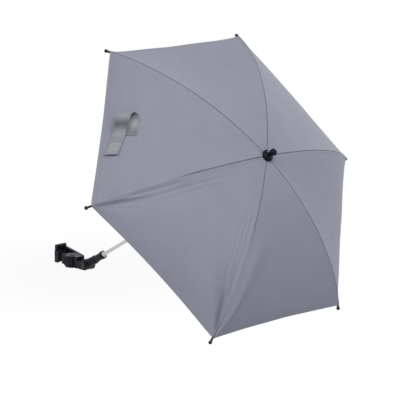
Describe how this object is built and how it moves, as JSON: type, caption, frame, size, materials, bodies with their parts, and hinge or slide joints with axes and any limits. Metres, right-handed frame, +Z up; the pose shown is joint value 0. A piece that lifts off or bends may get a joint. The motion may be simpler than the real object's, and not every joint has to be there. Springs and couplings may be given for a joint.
{
  "type": "pram parasol",
  "caption": "Folding parasol for a pram: fabric gores on hinged ribs, steel rod in a tilting socket, and a cam-knob clamp for an upright tube.",
  "frame": {"origin": "centre of the tube held in the clamp, at half the height of the jaws", "axes": "+Z up along the clamped tube, +X the way the rod leans from the clamp, +Y to its left"},
  "size_m": [0.7184, 0.7076, 0.5327],
  "materials": {
    "canopy_fabric": "woven UV cloth",
    "strap_webbing": "webbing",
    "strap_patch": "hook and loop",
    "tip_plastic": "gloss black",
    "frame_steel": "zinc plated",
    "rod_steel": "bright plated",
    "collar_chrome": "bright",
    "finial_gloss": "gloss black",
    "clamp_plastic": "moulded satin black",
    "knob_plastic": "moulded satin black",
    "pad_rubber": "ribbed rubber",
    "fastener_steel": "plated",
    "bolt_black": "black",
    "runner_plastic": "moulded black"
  },
  "bodies": {
    "clamp": {"clamp_frame": "clamp_plastic", "fixed_jaw_pad": "pad_rubber", "knob_axle": "bolt_black", "tilt_bolt": "bolt_black", "tilt_nut": "fastener_steel"},
    "knob": {"clamp_knob": "knob_plastic"},
    "jaw": {"sliding_jaw": "clamp_plastic", "sliding_jaw_pad": "pad_rubber"},
    "pole": {"rod_socket": "clamp_plastic", "socket_collar": "collar_chrome", "rod": "rod_steel", "rod_rivet": "bolt_black", "top_notch": "runner_plastic", "notch_wire": "fastener_steel", "finial": "finial_gloss", "finial_washer": "finial_gloss", "rod_stop": "fastener_steel"},
    "catch": {"runner_catch": "fastener_steel"},
    "rib_1": {"rib_1": "frame_steel", "rib_tip_1": "tip_plastic", "rib_clip_1": "frame_steel"},
    "stretcher_1": {"stretcher_1": "frame_steel"},
    "runner": {"runner": "runner_plastic", "runner_wire": "fastener_steel"},
    "panel_1_right": {"panel_1_right": "canopy_fabric"},
    "panel_1_left": {"panel_1_left": "canopy_fabric"},
    "rib_2": {"rib_2": "frame_steel", "rib_tip_2": "tip_plastic", "rib_clip_2": "frame_steel"},
    "stretcher_2": {"stretcher_2": "frame_steel"},
    "panel_2_right": {"panel_2_right": "canopy_fabric"},
    "panel_2_left": {"panel_2_left": "canopy_fabric"},
    "rib_3": {"rib_3": "frame_steel", "rib_tip_3": "tip_plastic", "rib_clip_3": "frame_steel"},
    "stretcher_3": {"stretcher_3": "frame_steel"},
    "panel_3_right": {"panel_3_right": "canopy_fabric"},
    "panel_3_left": {"panel_3_left": "canopy_fabric"},
    "rib_4": {"rib_4": "frame_steel", "rib_tip_4": "tip_plastic", "rib_clip_4": "frame_steel"},
    "stretcher_4": {"stretcher_4": "frame_steel"},
    "panel_4_right": {"panel_4_right": "canopy_fabric"},
    "panel_4_left": {"panel_4_left": "canopy_fabric"},
    "rib_5": {"rib_5": "frame_steel", "rib_tip_5": "tip_plastic", "rib_clip_5": "frame_steel"},
    "stretcher_5": {"stretcher_5": "frame_steel"},
    "panel_5_right": {"panel_5_right": "canopy_fabric"},
    "panel_5_left": {"panel_5_left": "canopy_fabric", "closure_strap": "strap_webbing", "strap_patch": "strap_patch"},
    "rib_6": {"rib_6": "frame_steel", "rib_tip_6": "tip_plastic", "rib_clip_6": "frame_steel"},
    "stretcher_6": {"stretcher_6": "frame_steel"},
    "panel_6_right": {"panel_6_right": "canopy_fabric"},
    "panel_6_left": {"panel_6_left": "canopy_fabric"}
  },
  "joints": [
    {"name": "tilt", "type": "hinge", "parent": "clamp", "child": "pole", "pos_m": [0.084, 0, 0], "axis": [0, 1, 0], "range_deg": [-90, 30]},
    {"name": "knob_turn", "type": "hinge", "parent": "clamp", "child": "knob", "pos_m": [0.036, -0.004, 0], "axis": [0, 0, -1], "range_deg": [-40, 40]},
    {"name": "jaw_slide", "type": "slide", "parent": "clamp", "child": "jaw", "axis": [-1, 0, 0], "range_m": [-0.0035, 0.0035]},
    {"name": "catch_press", "type": "slide", "parent": "pole", "child": "catch", "axis": [0.5, 0, -0.866], "range_m": [0, 0.0016], "stiffness_N_per_m": 400, "springref_m": 0.0016},
    {"name": "fold", "type": "hinge", "parent": "pole", "child": "rib_1", "pos_m": [0.6452, 0.0045, 0.31501], "axis": [-0.25, 0.866, 0.433], "range_deg": [0, 66], "deforming": ["panel_1_right", "panel_1_left", "panel_2_right", "panel_2_left", "panel_3_right", "panel_3_left", "panel_4_right", "panel_4_left", "panel_5_right", "panel_5_left", "panel_6_right", "panel_6_left", "closure_strap", "strap_patch"]},
    {"name": "stretcher_1_turn", "type": "hinge", "parent": "rib_1", "child": "stretcher_1", "pos_m": [0.68592, 0.08334, 0.18083], "axis": [-0.25, 0.866, 0.433], "range_deg": [-132, 0]},
    {"name": "runner_turn", "type": "hinge", "parent": "stretcher_1", "child": "runner", "pos_m": [0.59008, 0.0045, 0.28318], "axis": [-0.25, 0.866, 0.433], "range_deg": [0, 66]},
    {"name": "panel_1_right_fold", "type": "hinge", "parent": "rib_1", "child": "panel_1_right", "pos_m": [0.68385, 0.09083, 0.16755], "axis": [0.0815, 0.4231, -0.9024], "range_deg": [0, 60.6]},
    {"name": "panel_1_left_fold", "type": "hinge", "parent": "rib_1", "child": "panel_1_left", "pos_m": [0.68448, 0.08867, 0.16646], "axis": [0.0591, 0.5005, -0.8637], "range_deg": [-60.6, 0]},
    {"name": "rib_2_fold", "type": "hinge", "parent": "pole", "child": "rib_2", "pos_m": [0.64131, 0.009, 0.32176], "axis": [-0.5, 0, 0.866], "range_deg": [0, 66]},
    {"name": "stretcher_2_turn", "type": "hinge", "parent": "rib_2", "child": "stretcher_2", "pos_m": [0.61374, 0.16668, 0.30585], "axis": [-0.5, 0, 0.866], "range_deg": [-132, 0]},
    {"name": "panel_2_right_fold", "type": "hinge", "parent": "rib_2", "child": "panel_2_right", "pos_m": [0.60581, 0.1795, 0.30271], "axis": [-0.3073, 0.9236, -0.229], "range_deg": [0, 60.6]},
    {"name": "panel_2_left_fold", "type": "hinge", "parent": "rib_2", "child": "panel_2_left", "pos_m": [0.60706, 0.1795, 0.30055], "axis": [-0.352, 0.9236, -0.1516], "range_deg": [-60.6, 0]},
    {"name": "rib_3_fold", "type": "hinge", "parent": "pole", "child": "rib_3", "pos_m": [0.63741, 0.0045, 0.32851], "axis": [-0.25, -0.866, 0.433], "range_deg": [0, 66]},
    {"name": "stretcher_3_turn", "type": "hinge", "parent": "rib_3", "child": "stretcher_3", "pos_m": [0.54157, 0.08334, 0.43086], "axis": [-0.25, -0.866, 0.433], "range_deg": [-132, 0]},
    {"name": "panel_3_right_fold", "type": "hinge", "parent": "rib_3", "child": "panel_3_right", "pos_m": [0.5284, 0.08867, 0.4368], "axis": [-0.7184, 0.5005, 0.4831], "range_deg": [0, 60.6]},
    {"name": "panel_3_left_fold", "type": "hinge", "parent": "rib_3", "child": "panel_3_left", "pos_m": [0.52903, 0.09083, 0.43571], "axis": [-0.7408, 0.4231, 0.5218], "range_deg": [-60.6, 0]},
    {"name": "rib_4_fold", "type": "hinge", "parent": "pole", "child": "rib_4", "pos_m": [0.63741, -0.0045, 0.32851], "axis": [0.25, -0.866, -0.433], "range_deg": [0, 66]},
    {"name": "stretcher_4_turn", "type": "hinge", "parent": "rib_4", "child": "stretcher_4", "pos_m": [0.54157, -0.08334, 0.43086], "axis": [0.25, -0.866, -0.433], "range_deg": [-132, 0]},
    {"name": "panel_4_right_fold", "type": "hinge", "parent": "rib_4", "child": "panel_4_right", "pos_m": [0.52903, -0.09083, 0.43571], "axis": [-0.7408, -0.4231, 0.5218], "range_deg": [0, 60.6]},
    {"name": "panel_4_left_fold", "type": "hinge", "parent": "rib_4", "child": "panel_4_left", "pos_m": [0.5284, -0.08867, 0.4368], "axis": [-0.7184, -0.5005, 0.4831], "range_deg": [-60.6, 0]},
    {"name": "rib_5_fold", "type": "hinge", "parent": "pole", "child": "rib_5", "pos_m": [0.64131, -0.009, 0.32176], "axis": [0.5, 0, -0.866], "range_deg": [0, 66]},
    {"name": "stretcher_5_turn", "type": "hinge", "parent": "rib_5", "child": "stretcher_5", "pos_m": [0.61374, -0.16668, 0.30585], "axis": [0.5, 0, -0.866], "range_deg": [-132, 0]},
    {"name": "panel_5_right_fold", "type": "hinge", "parent": "rib_5", "child": "panel_5_right", "pos_m": [0.60706, -0.1795, 0.30055], "axis": [-0.352, -0.9236, -0.1516], "range_deg": [0, 60.6]},
    {"name": "panel_5_left_fold", "type": "hinge", "parent": "rib_5", "child": "panel_5_left", "pos_m": [0.60581, -0.1795, 0.30271], "axis": [-0.3073, -0.9236, -0.229], "range_deg": [-60.6, 0]},
    {"name": "rib_6_fold", "type": "hinge", "parent": "pole", "child": "rib_6", "pos_m": [0.6452, -0.0045, 0.31501], "axis": [0.25, 0.866, -0.433], "range_deg": [0, 66]},
    {"name": "stretcher_6_turn", "type": "hinge", "parent": "rib_6", "child": "stretcher_6", "pos_m": [0.68592, -0.08334, 0.18083], "axis": [0.25, 0.866, -0.433], "range_deg": [-132, 0]},
    {"name": "panel_6_right_fold", "type": "hinge", "parent": "rib_6", "child": "panel_6_right", "pos_m": [0.68448, -0.08867, 0.16646], "axis": [0.0591, -0.5005, -0.8637], "range_deg": [0, 60.6]},
    {"name": "panel_6_left_fold", "type": "hinge", "parent": "rib_6", "child": "panel_6_left", "pos_m": [0.68385, -0.09083, 0.16755], "axis": [0.0815, -0.4231, -0.9024], "range_deg": [-60.6, 0]}
  ],
  "couplings": [
    {"joint": "jaw_slide", "follows": "knob_turn", "m_per_rad": 0.005},
    {"joint": "stretcher_1_turn", "follows": "fold", "ratio": -2},
    {"joint": "runner_turn", "follows": "fold", "ratio": 1},
    {"joint": "panel_1_right_fold", "follows": "fold", "ratio": 0.91667},
    {"joint": "panel_1_left_fold", "follows": "fold", "ratio": -0.91667},
    {"joint": "rib_2_fold", "follows": "fold", "ratio": 1},
    {"joint": "stretcher_2_turn", "follows": "fold", "ratio": -2},
    {"joint": "panel_2_right_fold", "follows": "fold", "ratio": 0.91667},
    {"joint": "panel_2_left_fold", "follows": "fold", "ratio": -0.91667},
    {"joint": "rib_3_fold", "follows": "fold", "ratio": 1},
    {"joint": "stretcher_3_turn", "follows": "fold", "ratio": -2},
    {"joint": "panel_3_right_fold", "follows": "fold", "ratio": 0.91667},
    {"joint": "panel_3_left_fold", "follows": "fold", "ratio": -0.91667},
    {"joint": "rib_4_fold", "follows": "fold", "ratio": 1},
    {"joint": "stretcher_4_turn", "follows": "fold", "ratio": -2},
    {"joint": "panel_4_right_fold", "follows": "fold", "ratio": 0.91667},
    {"joint": "panel_4_left_fold", "follows": "fold", "ratio": -0.91667},
    {"joint": "rib_5_fold", "follows": "fold", "ratio": 1},
    {"joint": "stretcher_5_turn", "follows": "fold", "ratio": -2},
    {"joint": "panel_5_right_fold", "follows": "fold", "ratio": 0.91667},
    {"joint": "panel_5_left_fold", "follows": "fold", "ratio": -0.91667},
    {"joint": "rib_6_fold", "follows": "fold", "ratio": 1},
    {"joint": "stretcher_6_turn", "follows": "fold", "ratio": -2},
    {"joint": "panel_6_right_fold", "follows": "fold", "ratio": 0.91667},
    {"joint": "panel_6_left_fold", "follows": "fold", "ratio": -0.91667}
  ]
}
